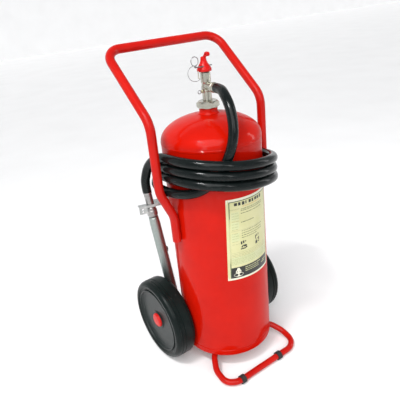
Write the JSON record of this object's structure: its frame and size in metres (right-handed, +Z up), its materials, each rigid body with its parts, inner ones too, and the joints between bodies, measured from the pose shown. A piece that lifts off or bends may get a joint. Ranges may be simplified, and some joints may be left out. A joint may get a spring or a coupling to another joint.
{
  "type": "wheeled fire extinguisher",
  "caption": "Tall red cylinder on two wheels with a looped tube handle, a foot loop, a turning lever valve, a coiled hose round its neck and a hanging lance",
  "frame": {"origin": "centre of the footprint box at floor level, under the wheels and the foot loop", "axes": "+Z up along the tank, +X across the axle to the right, -Y the front with the label and the foot loop"},
  "size_m": [0.4558, 0.4509, 1.0418],
  "materials": {
    "red_paint": "gloss red paint",
    "frame_paint": "gloss red paint",
    "wheel_disc": "satin black moulded",
    "hub_cap": "gloss red",
    "tyre": "matte black",
    "nickel": "bright nickel plate",
    "steel": "satin",
    "zinc": "bright zinc plate",
    "brass": "satin",
    "hose": "satin black",
    "black_plastic": "satin black",
    "barrel_grey": "satin grey",
    "label": "satin printed film",
    "gasket": "matte",
    "siphon": "plain",
    "lever_red": "gloss red moulded",
    "lance_metal": "satin cast",
    "strip": "matte"
  },
  "bodies": {
    "root": {"tank_shell": "red_paint", "top_dome": "red_paint", "bottom_dome": "red_paint", "base_ring": "red_paint", "neck_boss": "red_paint", "label": "label", "siphon_tube": "siphon", "neck_gasket": "gasket", "ring_nut": "nickel", "valve_body": "nickel", "stem_spring": "steel", "lever_pin": "steel", "relief_valve": "brass", "hose_coupling": "nickel", "hose_lead": "hose", "hose_tail": "hose", "hose_coil": "hose", "lance_pipe": "lance_metal", "lance_collar": "lance_metal", "lance_barrel": "barrel_grey", "lance_nozzle": "black_plastic", "lance_lug": "black_plastic", "lance_bracket": "zinc", "handle_frame": "frame_paint", "handle_welds": "frame_paint", "foot_loop": "frame_paint", "foot_rings": "gasket", "axle_brackets": "red_paint", "left_spindle": "steel", "left_inner_washer": "zinc", "left_retaining_clip": "zinc", "right_spindle": "steel", "right_inner_washer": "zinc", "right_retaining_clip": "zinc"},
    "left_wheel": {"left_tyre": "tyre", "left_wheel_rim": "wheel_disc", "left_wheel_bush": "brass", "left_hub_cap": "hub_cap"},
    "right_wheel": {"right_tyre": "tyre", "right_wheel_rim": "wheel_disc", "right_wheel_bush": "brass", "right_hub_cap": "hub_cap"},
    "lever": {"actuating_lever": "lever_red", "pin_strip": "strip", "tether_wire": "steel"},
    "stem": {"valve_stem": "steel", "stem_seal": "gasket"},
    "safety_pin_set": {"safety_pin": "steel", "pull_ring": "steel"},
    "relief_pull": {"relief_ring": "steel"}
  },
  "joints": [
    {"name": "left_wheel_spin", "type": "hinge", "parent": "root", "child": "left_wheel", "pos_m": [-0.1895, 0.0851, 0.141], "axis": [1, 0, 0], "continuous": true},
    {"name": "right_wheel_spin", "type": "hinge", "parent": "root", "child": "right_wheel", "pos_m": [0.1895, 0.0851, 0.141], "axis": [1, 0, 0], "continuous": true},
    {"name": "lever_swing", "type": "hinge", "parent": "root", "child": "lever", "pos_m": [0, -0.0179, 0.966], "axis": [-1, 0, 0], "range_deg": [0, 90]},
    {"name": "stem_press", "type": "slide", "parent": "root", "child": "stem", "axis": [0, 0, -1], "range_m": [0, 0.006], "deforming": ["stem_spring"]},
    {"name": "safety_pin_pull", "type": "slide", "parent": "lever", "child": "safety_pin_set", "axis": [-1, 0, 0], "range_m": [0, 0.045], "deforming": ["tether_wire"]},
    {"name": "relief_ring_pull", "type": "slide", "parent": "root", "child": "relief_pull", "axis": [-1, 0, 0], "range_m": [0, 0.003], "stiffness_N_per_m": 200, "springref_m": -0.002}
  ],
  "couplings": [
    {"joint": "stem_press", "follows": "lever_swing", "m_per_rad": 0.0038197}
  ]
}
